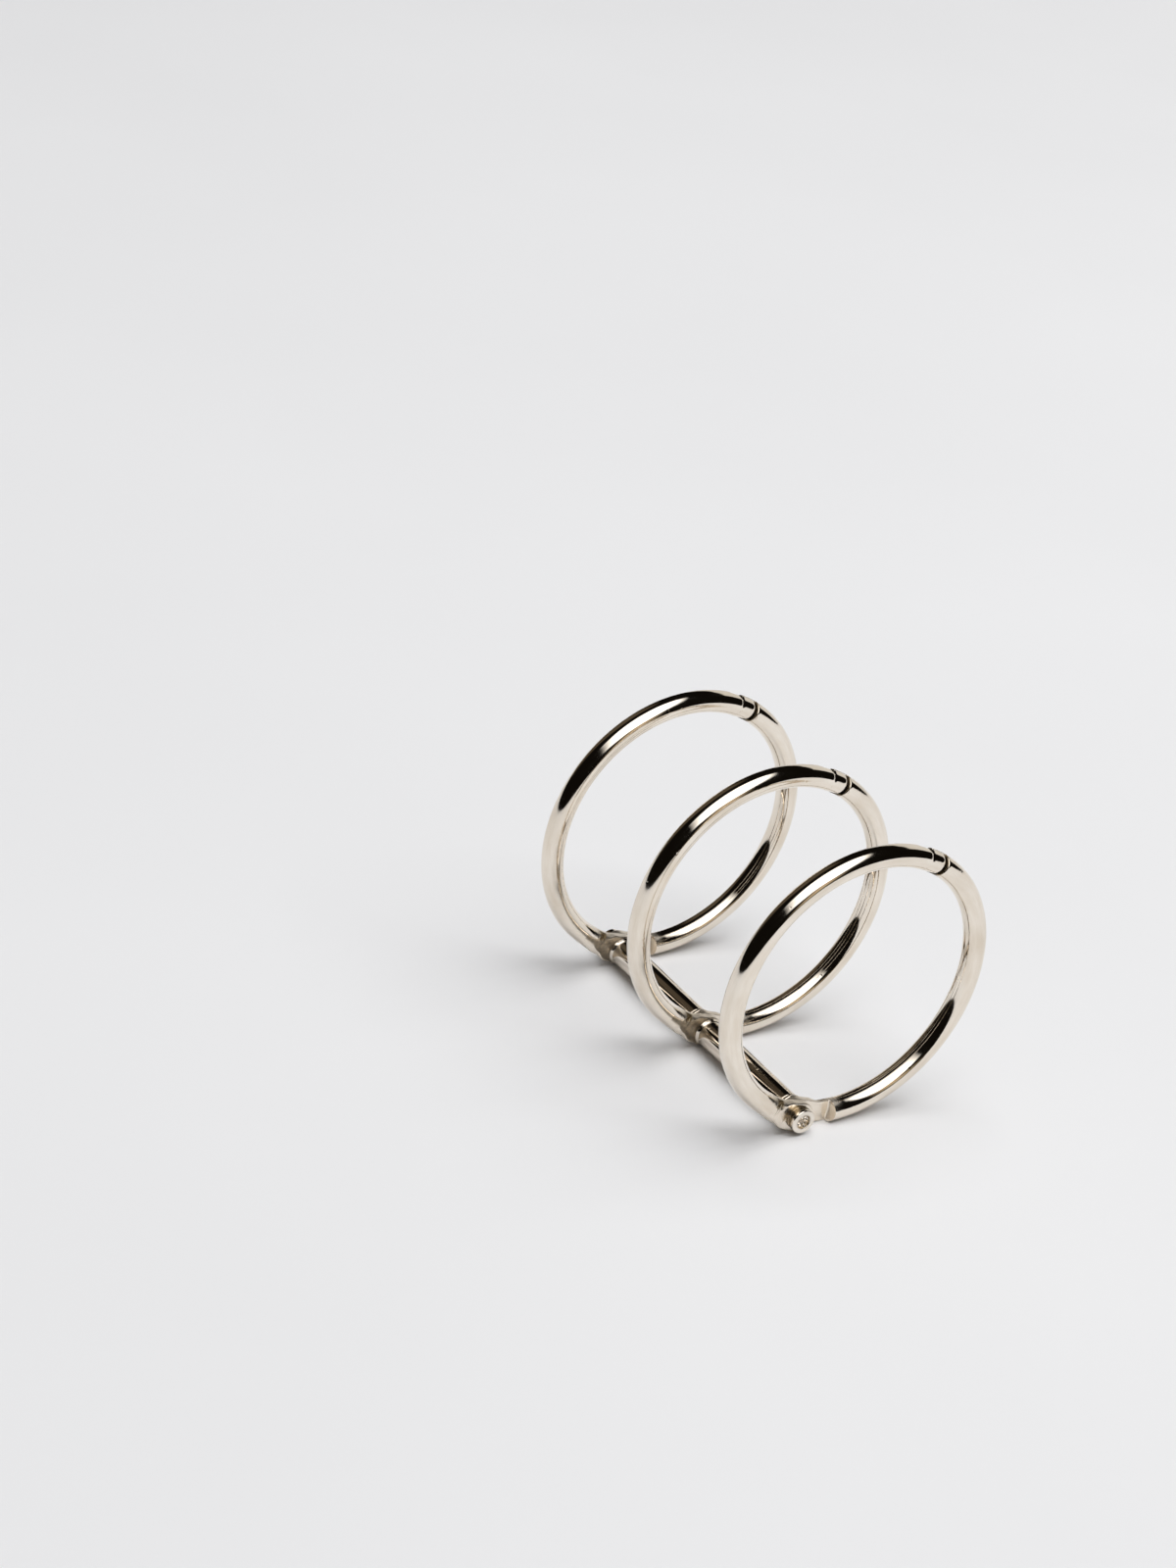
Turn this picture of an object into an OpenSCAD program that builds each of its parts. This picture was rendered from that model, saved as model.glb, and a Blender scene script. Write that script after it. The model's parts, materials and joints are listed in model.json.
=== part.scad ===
// Three-ring loose-leaf binder ring: three snap rings of round wire on one riveted hinge pin.
// The pin lies along Y and the rings stand across it. Closed, the set rests with its hinge lugs and
// the round wire on the floor at Z = 0, so the rings lean a little to the +X side of the pin.

/* [Rings] */
// Clear diameter inside a closed ring
ring_inner_d = 30.6; // [26:0.2:40]
// Thickness of the round wire
wire_d = 2.65; // [2.5:0.05:3]
// Distance between neighbouring rings along the pin
ring_pitch = 19; // [12:0.5:40]

/* [Hinge lugs] */
// Thickness of one pressed lug
lug_t = 0.9; // [0.8:0.05:1.2]
// Radius of the rounded lug end around the pin
lug_r = 1.9; // [1.8:0.05:2.4]
// Width of a lug where it runs out into the wire
lug_neck_w = 1.8; // [0.8:0.05:1.9]
// Distance from the pin centre up to which a lug keeps its full width and its flat face
lug_full_r = 4.4; // [3.4:0.1:4.6]
// Distance from the pin centre to the step where the full wire begins
shoulder_r = 4.9; // [4.7:0.1:7]
// Radius of the curved run-out between lug face and wire
runout_r = 2; // [1:0.5:10]
// Distance of the pin centre outside the centre line of the wire
pin_drop = 0.2; // [0:0.05:0.4]

/* [Hinge pin] */
// Diameter of the pin shaft
pin_d = 2.2; // [1.8:0.05:2.4]
// Diameter of the two pin heads
head_d = 3; // [2.8:0.05:3.6]
// Height of the two pin heads
head_h = 0.9; // [0.4:0.05:1.2]
// Width of the punched dimple in the front head
dimple_d = 1.5; // [1:0.05:2]
// Depth of the punched dimple
dimple_depth = 0.35; // [0.1:0.05:0.5]
// Outside diameter of the spacer tubes
tube_d = 3.3; // [3:0.05:4]

/* [Snap] */
// Length along the wire in which the two ring ends overlap
lap_len = 2.6; // [2:0.1:4]
// Angle between the overlap and the point opposite the pin
snap_shift = 9.5; // [0:0.5:12]
// Width of the groove across the left half at the tip of the tongue
groove_w = 0.6; // [0.3:0.05:0.9]
// Length of the lip that carries the head from inside
lip_len = 1.4; // [0.8:0.1:1.8]
// Thickness of the lip at its root
lip_t = 0.45; // [0.35:0.05:0.6]

/* [Clearances] */
// Play between pin and bores, on the radius
pin_play = 0.04; // [0.02:0.01:0.08]
// Play between two faces stacked along the pin
stack_play = 0.03; // [0.02:0.01:0.06]
// Play between the overlapping ring ends
snap_play = 0.08; // [0.05:0.01:0.15]
// Play between the head and the lip below it
lip_play = 0.15; // [0.05:0.01:0.25]
// Gap at the tips of the overlapping ring ends
tip_gap = 0.4; // [0.1:0.05:0.5]

/* [Hidden] */

$fn = 96;
wire_r = wire_d / 2;
line_r = ring_inner_d / 2 + wire_r;
hinge_r = line_r + pin_drop;
bore_r = pin_d / 2 + pin_play;
// Faces of a ring's lugs, measured from the middle plane of the ring
mate_w = stack_play / 2;
face_w = mate_w + lug_t;
// Angles at the hinge, seen from the ring centre
shoulder_a = 2 * asin(shoulder_r / (2 * line_r));
lug_full_a = 2 * asin(lug_full_r / (2 * line_r));
root_a = asin(lug_r / (2 * line_r));
// Angles at the snap, seen from the ring centre
lap_a = lap_len / line_r * 180 / PI;
gap_a = tip_gap / line_r * 180 / PI;
lip_a = lip_len / line_r * 180 / PI;
right_step_a = 90 - snap_shift - lap_a / 2;
left_step_a = right_step_a + lap_a;
// Reach of the lip from the pin, round which it swings
lip_r = ring_inner_d / 2 + lip_t;
lip_reach = norm([lip_r * cos(right_step_a), hinge_r + lip_r * sin(right_step_a)]);
// Rest on the floor
lean = acos((line_r + wire_r - lug_r) / hinge_r);
pin_x = -hinge_r * sin(lean);
pin_z = lug_r;
// Reach of a cut that passes right through the wire
cut = wire_d;
nickel = [0.80, 0.77, 0.72];

// Ring plane: x to the right, y up, z to the front, origin on the pin.
module place(y) {
    translate([pin_x, y, pin_z])
        rotate([0, lean, 0])
            rotate([90, 0, 0])
                children();
}

module at_ring_centre() {
    translate([0, hinge_r, 0])
        children();
}

module wire_arc(a0, a1) {
    at_ring_centre()
        rotate([0, 0, a0])
            rotate_extrude(angle = a1 - a0)
                translate([line_r, 0])
                    circle(r = wire_r);
}

module sector(a0, a1, w0, w1) {
    far = 2 * line_r;
    at_ring_centre()
        translate([0, 0, w0])
            linear_extrude(w1 - w0)
                polygon([[0, 0], far * [cos(a0), sin(a0)], far * [cos(a1), sin(a1)]]);
}

// Room inside a circle about the pin
module within_reach(r) {
    cylinder(r = r, h = 2 * cut, center = true);
}

// Groove across the outer side of the wire, where the tongue ends
module tip_groove() {
    at_ring_centre()
        rotate([0, 0, left_step_a])
            translate([line_r + wire_r, 0, 0])
                cylinder(d = groove_w, h = 2 * cut, center = true);
}

// Point of the left half at an angle from the pin and a distance from the ring centre
function left_at(a, r) = [-r * sin(a), hinge_r - r * cos(a)];

// Flat lug of the left half: a round end on the pin, an outer edge along the common tangent of that end
// and the wire, and a neck that runs out in the wire.
module lug_plate() {
    tangent = [-sin(lean), -cos(lean)];
    tangent_end = [0, hinge_r] + (line_r + wire_r) * tangent;
    outer_edge = lug_r * tangent;
    full = lug_full_r / norm(tangent_end - outer_edge);
    translate([0, 0, mate_w])
        linear_extrude(lug_t)
            union() {
                circle(r = lug_r);
                polygon([
                    outer_edge,
                    outer_edge + min(full, 1) * (tangent_end - outer_edge),
                    left_at(shoulder_a, line_r + lug_neck_w / 2),
                    left_at(shoulder_a, line_r - lug_neck_w / 2),
                    left_at(lug_full_a, line_r - wire_r),
                    [0, lug_r]
                ]);
            }
}

// Room that the left half leaves behind its lug, and the flat with its run-out in front.
module lug_cuts() {
    translate([0, 0, -cut])
        cylinder(r = shoulder_r, h = cut + mate_w);
    translate([-lug_full_r, -shoulder_r, face_w])
        cube([lug_full_r + lug_r, 2 * shoulder_r, cut]);
    translate([-lug_full_r, 0, face_w + runout_r])
        rotate([90, 0, 0])
            cylinder(r = runout_r, h = 2 * shoulder_r, center = true);
}

module pin_bore() {
    cylinder(r = bore_r, h = 2 * cut, center = true);
}

// Left half: its lug and the snap head lie on the front side.
module left_half(y) {
    color(nickel)
        place(y)
            difference() {
                union() {
                    difference() {
                        wire_arc(right_step_a + gap_a, 270 - root_a);
                        lug_cuts();
                        sector(right_step_a - gap_a, left_step_a, -cut, snap_play / 2);
                        intersection() {
                            sector(right_step_a - gap_a, right_step_a + lip_a + gap_a, 0, cut);
                            within_reach(lip_reach + lip_play);
                        }
                        tip_groove();
                    }
                    lug_plate();
                }
                pin_bore();
            }
}

// Right half: its lug and the snap tongue lie on the back side.
module right_half(y) {
    color(nickel)
        place(y)
            difference() {
                union() {
                    difference() {
                        wire_arc(root_a - 90, left_step_a - gap_a);
                        rotate([0, 180, 0])
                            lug_cuts();
                        difference() {
                            sector(right_step_a, left_step_a + gap_a, -snap_play / 2, cut);
                            intersection() {
                                sector(right_step_a - gap_a, right_step_a + lip_a, -cut, cut);
                                within_reach(lip_reach);
                            }
                        }
                    }
                    rotate([0, 180, 0])
                        lug_plate();
                }
                pin_bore();
            }
}

// Tube on the pin between the lugs of two neighbouring rings.
module spacer_tube(y) {
    length = ring_pitch - 2 * (face_w + stack_play);
    color(nickel)
        place(y)
            difference() {
                cylinder(d = tube_d, h = length, center = true);
                cylinder(r = bore_r, h = ring_pitch, center = true);
            }
}

module pin_head() {
    translate([0, 0, ring_pitch + face_w + stack_play])
        cylinder(d = head_d, h = head_h);
}

// Riveted pin: plain head at the back, punched head at the front.
module hinge_pin() {
    shaft = 2 * (ring_pitch + face_w + stack_play);
    tip = shaft / 2 + head_h;
    color(nickel)
        place(0)
            difference() {
                union() {
                    cylinder(d = pin_d, h = shaft + head_h, center = true);
                    pin_head();
                    mirror([0, 0, 1])
                        pin_head();
                }
                translate([0, 0, tip - dimple_depth])
                    cylinder(d1 = dimple_d / 2, d2 = dimple_d, h = dimple_depth);
            }
}

module front_spacer_tube() { spacer_tube(-ring_pitch / 2); }
module back_spacer_tube() { spacer_tube(ring_pitch / 2); }
module front_left_half() { left_half(-ring_pitch); }
module middle_left_half() { left_half(0); }
module back_left_half() { left_half(ring_pitch); }
module front_right_half() { right_half(-ring_pitch); }
module middle_right_half() { right_half(0); }
module back_right_half() { right_half(ring_pitch); }

hinge_pin();
front_spacer_tube();
back_spacer_tube();
front_left_half();
middle_left_half();
back_left_half();
front_right_half();
middle_right_half();
back_right_half();
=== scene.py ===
"""Looks of the three-ring binder set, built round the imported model, in metres."""
import json
import math

import bmesh
import bpy
import numpy as np
from mathutils import Matrix, Vector


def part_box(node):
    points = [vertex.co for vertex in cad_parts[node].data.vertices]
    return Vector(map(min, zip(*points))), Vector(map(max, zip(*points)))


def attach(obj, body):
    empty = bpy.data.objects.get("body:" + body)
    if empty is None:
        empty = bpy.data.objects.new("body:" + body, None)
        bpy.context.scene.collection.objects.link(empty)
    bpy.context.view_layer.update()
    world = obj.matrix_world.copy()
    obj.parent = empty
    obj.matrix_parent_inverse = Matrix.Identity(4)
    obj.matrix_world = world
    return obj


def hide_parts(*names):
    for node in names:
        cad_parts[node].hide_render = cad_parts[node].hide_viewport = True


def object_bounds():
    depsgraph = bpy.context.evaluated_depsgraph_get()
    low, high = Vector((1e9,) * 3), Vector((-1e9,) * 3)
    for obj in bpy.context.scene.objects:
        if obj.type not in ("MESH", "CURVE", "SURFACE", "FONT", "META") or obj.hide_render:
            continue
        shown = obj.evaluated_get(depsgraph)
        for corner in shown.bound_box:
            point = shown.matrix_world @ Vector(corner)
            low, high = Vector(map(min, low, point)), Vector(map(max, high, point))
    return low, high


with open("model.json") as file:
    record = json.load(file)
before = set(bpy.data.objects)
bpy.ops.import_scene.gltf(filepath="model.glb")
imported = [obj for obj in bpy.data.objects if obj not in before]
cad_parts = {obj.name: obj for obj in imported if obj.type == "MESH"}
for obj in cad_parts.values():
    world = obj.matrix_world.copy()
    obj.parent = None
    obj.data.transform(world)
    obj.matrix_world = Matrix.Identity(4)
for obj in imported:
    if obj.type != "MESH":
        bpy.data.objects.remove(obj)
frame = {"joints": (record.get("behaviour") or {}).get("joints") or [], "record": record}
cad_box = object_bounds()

MM = 0.001

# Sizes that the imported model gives
joints = {joint["name"]: joint for joint in frame["joints"]}
RINGS = ("front", "middle", "back")
PIN = Vector(joints["middle_ring_swing"]["pos_m"])
RING_Y = {ring: joints[ring + "_ring_swing"]["pos_m"][1] for ring in RINGS}
WIRE_R = frame["record"]["mounts"][0]["dims"]["r_mm"] * MM
CENTRE = (cad_box[0] + cad_box[1]) / 2
OUTER_R = cad_box[1].z - CENTRE.z
LINE_R = OUTER_R - WIRE_R
LEAN = math.atan2(CENTRE.x - PIN.x, CENTRE.z - PIN.z)
HINGE_R = math.hypot(CENTRE.x - PIN.x, CENTRE.z - PIN.z)
LUG_R = PIN.z - cad_box[0].z
TUBE_BOX = {ring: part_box(ring + "_spacer_tube") for ring in ("front", "back")}
TUBE_R = (TUBE_BOX["front"][1].x - TUBE_BOX["front"][0].x) / 2
PIN_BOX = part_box("hinge_pin")
HEAD_R = (PIN_BOX[1].x - PIN_BOX[0].x) / 2

# Sizes that repeat the solids' own
LUG_T = 0.9 * MM
STACK_PLAY = 0.03 * MM
SHOULDER_R = 4.9 * MM
LUG_FULL_R = 4.4 * MM
PIN_R = 1.1 * MM
BORE_R = 1.14 * MM
HEAD_H = 0.9 * MM
LAP_LEN = 2.6 * MM
SNAP_SHIFT = math.radians(9.5)
SNAP_PLAY = 0.08 * MM
TIP_GAP = 0.4 * MM
GROOVE_W = 0.6 * MM
LIP_LEN = 1.4 * MM
LIP_T = 0.45 * MM
LIP_PLAY = 0.15 * MM
MATE_W = STACK_PLAY / 2
FACE_W = MATE_W + LUG_T

# Lugs: the distance from the pin at which the flat begins to rise, meets the wire's front and has run out,
# the distances between which the plate turns into wire, and the length of the cove before the shoulder
FLAT_R = 2.0 * MM
FLAT_TIP_R = 5.0 * MM
NECK_R = 6.6 * MM
PLATE_R = (1.7 * MM, 3.4 * MM)
COVE = 0.3 * MM

# Rounded edges
EDGE_ROUND = 0.07 * MM
LUG_EDGE = 0.18 * MM
LUG_NOSE = 0.3 * MM
STEP_ROUND = 0.22 * MM
HEAD_TIP_ROUND = 0.45 * MM
TONGUE_TIP_ROUND = 0.2 * MM
TIP_NARROWING = 0.34
LIP_POWER = 0.7

# Limits of a lug's rounding, as shares of its half width
LUG_EDGE_MAX = 0.98
LUG_SOFT_MAX = 0.4

# Length of the tool that cuts a lug's bore
BORE_CUT = 4 * LUG_T

# Press marks on the lugs: the outer side's swell, the notch at the inner side with painted shade in it, the
# flat darkened with painted shade (a dark reflection) where a tube lies against it, and how upright the
# outline is at a sheared edge
SWELL = 0.45 * MM
SWELL_AT = 3.5 * MM
SWELL_LEN = 1.9 * MM
SWELL_FROM = (-0.5 * MM, 1.6 * MM)
SWELL_TOP = 0.8 * MM
NOTCH_DEPTH = 0.4 * MM
NOTCH_AT = 3.9 * MM
NOTCH_LEN = 0.55 * MM
NOTCH_EDGES = (-0.25 * MM, -0.6 * MM)
NOTCH_FOOT = (LUG_T / 3, LUG_T / 2)
NOTCH_SHADE = 1.8
FACE_SHADE = 0.62
FACE_DEPTH = 0.02 * MM
UPRIGHT_EDGE = (0.6, 0.95)

# Press marks at the snap: the crease that sets off the head, and the uneven flat before it
CREASE_DEPTH = 0.09 * MM
CREASE_AT = 0.12 * MM
CREASE_W = 0.13 * MM
CREASE_TURN = math.radians(50)
CREASE_REACH = math.radians(32)
PRESS_LEN = 1.9 * MM
PRESS_RISE = 1.0 * MM
PRESS_DEPTH = 0.15 * MM
PRESS_RIPPLE = 0.9 * MM
PRESS_UNEVEN = 0.06
PRESS_TURN = math.radians(-18)
RECESS_EDGE = 0.08 * MM

# Pin heads, and the crater in the front one, with painted shade at the foot of the front head's side. The
# crater's floor, the place and width of its painted dark line and the small hubs in the middle of the faces
# are shares of the radius.
HEAD_RIM = 0.13 * MM
HEAD_FOOT_SHADE = 0.95
HEAD_FOOT_SHADE_FROM = (0.22 * MM, 0.5 * MM)
HEAD_HUB = 0.1
CRATER_R = 0.88 * MM
CRATER_DEPTH = 0.4 * MM
CRATER_FLOOR = 0.68
CRATER_HUB = 0.06
CRATER_LINE_SHADE = 1.0
CRATER_LINE = (0.9, 0.11)

# Lobes of the crater: height, spread, twist, shares of the radius where they reach full height from outside
# and from inside, and for each wave its share, its count, its start and the side to which it twists
LOBE_H = 0.15 * MM
LOBE_SPREAD = 0.06
LOBE_TWIST = 2.2
LOBE_OUTSIDE = 0.7
LOBE_INSIDE = 0.2
LOBES = ((1, 5, 0.6, 1), (0.7, 3, 2.1, -1))

# Tube ends
TUBE_EDGE = 0.14 * MM
SEAM_AT = 0.55 * MM
SEAM_W = 0.06 * MM
SEAM_DEPTH = 0.06 * MM
SEAM_STAIN = 0.7
COLLAR_PRESSED = 0.2
FLARE = 0.22 * MM

# Angles at the ring centre, from the hinge along a half ring
SHOULDER_A = 2 * math.asin(SHOULDER_R / (2 * LINE_R))
FOOT_A = SHOULDER_A - COVE / LINE_R
LUG_FULL_A = 2 * math.asin(LUG_FULL_R / (2 * LINE_R))
NECK_A = math.asin(NECK_R / HINGE_R)
TANGENT_A = math.atan2(LUG_R * math.sin(LEAN), HINGE_R + LUG_R * math.cos(LEAN))
LAP_A = LAP_LEN / LINE_R
GAP_A = TIP_GAP / LINE_R
HEAD_ROOT_A = math.pi + SNAP_SHIFT - LAP_A / 2
HEAD_TIP_A = HEAD_ROOT_A + LAP_A - GAP_A
TONGUE_ROOT_A = math.pi - SNAP_SHIFT - LAP_A / 2
TONGUE_TIP_A = TONGUE_ROOT_A + LAP_A - GAP_A

# Reach of the lip from the pin
LIP_R = LINE_R - WIRE_R + LIP_T
LIP_REACH = math.sqrt(LIP_R ** 2 + HINGE_R ** 2 - 2 * LIP_R * HINGE_R * math.cos(TONGUE_ROOT_A))

# Mesh fineness
SECTION_POINTS = 64
DENSE_POINTS = 640
EDGE_POINTS = 24
WIRE_STEP = math.radians(1.0)
FINE_STEP = 0.11 * MM / LINE_R
NOSE_STATIONS = 16
NOSE_FROM = math.radians(12)
STEP_STATIONS = 9
COVE_STATIONS = 12
TIP_STATIONS = 8
LATHE_SEGMENTS = 96
CRATER_ROWS = 22
FACE_ROWS = 4
RIM_ROWS = 7
SIDE_ROWS = 9
BACK_ROWS = 6
TUBE_ROWS = 24
TUBE_EDGE_ROWS = 6
SHARP = math.radians(40)
TINY = 1e-9
LEAST_TURN = 1e-6


# Cross-sections: closed lists of (radial, axial) points, anticlockwise, in metres from the wire's line

def smooth_all(x, low, high):
    """0 below low and 1 above high, with a soft S between."""
    t = np.clip((x - low) / (high - low), 0, 1)
    return t * t * (3 - 2 * t)


def smooth(x, low, high):
    """smooth_all of one number."""
    return float(smooth_all(x, low, high))


def bell(x):
    """1 at 0, falling softly to 0 on both sides."""
    return np.exp(-x * x)


def wire_section():
    """Round section of the full wire."""
    turn = np.linspace(0, 2 * math.pi, DENSE_POINTS, endpoint=False)
    return WIRE_R * np.stack([np.cos(turn), np.sin(turn)], 1)


def clip(section, direction, limit):
    """The part of a section on the near side of a line."""
    kept = []
    height = section @ np.array(direction, float) - limit
    for i in range(len(section)):
        k = (i + 1) % len(section)
        if height[i] <= 0:
            kept.append(section[i])
        if (height[i] <= 0) != (height[k] <= 0):
            share = height[i] / (height[i] - height[k])
            kept.append(section[i] + share * (section[k] - section[i]))
    return np.array(kept)


def along(points, marks, measure):
    """Points of an open line where a rising measure has the given shares of its whole."""
    shares = measure / measure[-1]
    return np.stack([np.interp(marks, shares, points[:, k]) for k in range(2)], 1)


def even(section, count):
    """A closed section with count points at equal distances."""
    closed = np.vstack([section, section[:1]])
    steps = np.linalg.norm(np.diff(closed, axis=0), axis=1)
    keep = np.concatenate([[True], steps > TINY])
    closed = closed[keep]
    length = np.concatenate([[0], np.cumsum(steps[steps > TINY])])
    return along(closed, np.linspace(0, 1, count, endpoint=False), length)


def soften(section, radius=EDGE_ROUND):
    """Rounds the corners of a section by a running mean along its outline."""
    points = even(section, DENSE_POINTS)
    step = np.linalg.norm(points[1] - points[0])
    reach = max(int(radius / max(step, TINY)), 1)
    shifts = range(-reach, reach + 1)
    for _ in range(2):
        points = sum(np.roll(points, s, 0) for s in shifts) / len(shifts)
    return points


def spread(section):
    """SECTION_POINTS points of a section: a quarter of them between each two of its four corners,
    closer together where the outline turns."""
    low, high = section.min(0), section.max(0)
    unit = (section - (low + high) / 2) / np.maximum((high - low) / 2, TINY)
    corners = [int(np.argmax(unit @ np.array(d))) for d in ((-1, -1), (1, -1), (1, 1), (-1, 1))]
    made = []
    for start, stop in zip(corners, corners[1:] + corners[:1]):
        count = (stop - start) % len(section)
        line = section[(start + np.arange(count + 1)) % len(section)]
        legs = np.diff(line, axis=0)
        length = np.concatenate([[0], np.cumsum(np.linalg.norm(legs, axis=1))])
        heading = np.unwrap(np.arctan2(legs[:, 1], legs[:, 0]))
        turned = np.concatenate([[0], np.cumsum(np.abs(np.diff(heading))), [0]])
        turned[-1] = turned[-2] + LEAST_TURN
        measure = length / length[-1] + turned / turned[-1]
        marks = np.linspace(0, 1, SECTION_POINTS // 4, endpoint=False)
        made.append(along(line, marks, measure))
    return np.vstack(made)


WIRE = spread(wire_section())


def lug_edges(angle, past):
    """Inner and outer edge of a lug: round about the pin, then straight to the wire."""
    round_half = math.sqrt(max(LUG_R ** 2 - past ** 2, 0))
    round_mid = HINGE_R * math.cos(angle) - LINE_R
    inner, outer = round_mid - round_half, round_mid + round_half
    if angle > 0:
        share = min(angle / LUG_FULL_A, 1)
        inner = (1 - share) * (HINGE_R - LUG_R - LINE_R) - share * WIRE_R
    if angle > TANGENT_A:
        outer = OUTER_R / math.cos(min(angle - LEAN, 0)) - LINE_R
    return inner, outer


def lug_face(past, radial):
    """Height of a lug's face over the ring's middle plane: rounded off at its end, level round the pin, then
    rising to the wire's front, with a notch at the inner side."""
    from_end = min(max(LUG_R + past, 0), LUG_NOSE)
    drop = LUG_NOSE - math.sqrt(LUG_NOSE ** 2 - (LUG_NOSE - from_end) ** 2)
    notch = NOTCH_DEPTH * bell((past - NOTCH_AT) / NOTCH_LEN) * smooth_all(radial, *NOTCH_EDGES)
    rise = min(max((past - FLAT_R) / (FLAT_TIP_R - FLAT_R), 0), 1)
    return FACE_W - drop - notch + rise * (WIRE_R - FACE_W)


def under_face(section, angle):
    """A section without what stands over the lug's face."""
    top = lug_face(HINGE_R * math.sin(angle), section[:, 0])
    return np.stack([section[:, 0], np.minimum(section[:, 1], top)], 1)


def lug_plate(angle):
    """Flat lug at an angle from the hinge, with softly rounded front edges."""
    past = HINGE_R * math.sin(angle)
    inner, outer = lug_edges(angle, past)
    half = (outer - inner) / 2
    top = lug_face(past, np.array([inner, outer])).max()
    edge = min(LUG_EDGE, half * LUG_EDGE_MAX)
    bend = np.linspace(0, math.pi / 2, EDGE_POINTS)
    right = np.stack([outer - edge + edge * np.cos(bend), top - edge + edge * np.sin(bend)], 1)
    left = np.stack([inner + edge - edge * np.sin(bend), top - edge + edge * np.cos(bend)], 1)
    plate = np.vstack([[[inner, MATE_W], [outer, MATE_W]], right, left])
    plate = under_face(even(plate, DENSE_POINTS), angle)
    return spread(soften(plate, min(EDGE_ROUND, half * LUG_SOFT_MAX)))


def neck_section(angle, back):
    """Round wire behind the flat that runs out of a lug's face, cut at a height on its back."""
    section = even(clip(wire_section(), (0, -1), -back), DENSE_POINTS)
    return spread(soften(under_face(section, angle)))


def lug_section(angle):
    """Lug at an angle from the hinge: a plate that turns into half a wire."""
    plate = lug_plate(angle)
    share = smooth(HINGE_R * math.sin(angle), *PLATE_R)
    if share == 0:
        return plate
    return plate + share * (neck_section(angle, MATE_W) - plate)


def swollen(angle, section, swell):
    """A lug's section with the front of its outer side spread by the press."""
    past = HINGE_R * math.sin(angle)
    reach = swell * bell((past - SWELL_AT) / SWELL_LEN) * smooth(past, *SWELL_FROM)
    outward = np.maximum(section[:, 0], 0) / WIRE_R * smooth_all(section[:, 1], 0, SWELL_TOP)
    return section + np.stack([reach * outward, 0 * outward], 1)


def level_about_pin(angle, reach):
    """Height over the wire's line, at an angle from the hinge, of a circle about the pin."""
    past = HINGE_R * math.sin(angle)
    return HINGE_R * math.cos(angle) + math.sqrt(reach ** 2 - past ** 2) - LINE_R


def press_depth(into):
    """Depth of the flat that the press leaves on the wire before the groove, a little uneven."""
    shape = smooth(into, -PRESS_LEN, PRESS_RISE - PRESS_LEN) * smooth(into, 0, -GROOVE_W / 2)
    return PRESS_DEPTH * shape * (1 + PRESS_UNEVEN * math.sin(2 * math.pi * into / PRESS_RIPPLE))


def lip_taper(from_root, length):
    """Share of its full height that the lip, or the room for it, has at a distance from its root."""
    return max(1 - abs(from_root) / length, 0) ** LIP_POWER


def creased(section, into):
    """A section with the pressed line that sets the head off from the wire."""
    turn = np.arctan2(section[:, 1], section[:, 0])
    across = bell((turn - CREASE_TURN) / CREASE_REACH)
    depth = CREASE_DEPTH * bell((into - CREASE_AT) / CREASE_W) * across
    return section * (1 - depth / WIRE_R)[:, None]


def head_section(angle):
    """Snap head of the left half: the front half of the wire, behind a pressed flat and a groove across its
    outer side, with room for the lip on its inner side near the tip."""
    into = (angle - HEAD_ROOT_A) * LINE_R
    groove = GROOVE_W / 2 * bell(into / (GROOVE_W / 2))
    section = clip(wire_section(), (1, 0), WIRE_R - groove)
    section = clip(section, (math.cos(PRESS_TURN), math.sin(PRESS_TURN)), WIRE_R - press_depth(into))
    if into >= 0:
        section = clip(section, (0, -1), -SNAP_PLAY / 2)
    over_lip = lip_taper((angle - HEAD_TIP_A - GAP_A) * LINE_R, LIP_LEN + TIP_GAP)
    if over_lip > 0:
        level = level_about_pin(angle, LIP_REACH + LIP_PLAY)
        section = clip(section, (-1, 0), WIRE_R - over_lip * (level + WIRE_R))
    return spread(creased(soften(section), into))


def tongue_section(angle):
    """Snap tongue of the right half: half a wire that carries, near its root, the lip on its inner side."""
    on_lip = lip_taper((angle - TONGUE_ROOT_A) * LINE_R, LIP_LEN)
    if on_lip == 0:
        return spread(soften(clip(wire_section(), (0, -1), -SNAP_PLAY / 2)))
    level = on_lip * (level_about_pin(angle, LIP_REACH) + WIRE_R) - WIRE_R
    start = math.asin(SNAP_PLAY / 2 / WIRE_R)
    stop = math.pi + math.acos(-level / WIRE_R)
    arc = np.linspace(start, stop, DENSE_POINTS // 2)
    outline = WIRE_R * np.stack([np.cos(arc), np.sin(arc)], 1)
    return spread(soften(np.vstack([outline, [[level, SNAP_PLAY / 2]]])))


def shrink(section, share):
    """A section made smaller about its middle."""
    middle = section.mean(0)
    return middle + share * (section - middle)


# Half rings

def between(low, high, step):
    """Even places from low up to high, without high, at most a step apart."""
    count = max(int(math.ceil((high - low) / step)), 1)
    return [low + (high - low) * i / count for i in range(count)]


def rounded_tip(section, angle, reach):
    """Stations that close a cut end with a round edge."""
    made = []
    for turn in np.linspace(0, math.pi / 2, TIP_STATIONS)[1:]:
        inward = 1 - TIP_NARROWING * (1 - math.cos(turn))
        made.append((angle + reach * math.sin(turn) / LINE_R, shrink(section, inward)))
    return made


def step_stations(angle, before, after, width):
    """Stations down a step between two sections, with its high edge rounded."""
    made = []
    for turn in np.linspace(0, math.pi / 2, STEP_STATIONS):
        place, share = math.sin(turn), 1 - math.cos(turn)
        made.append((angle + width * place / LINE_R, before + share * (after - before)))
    return made


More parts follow.
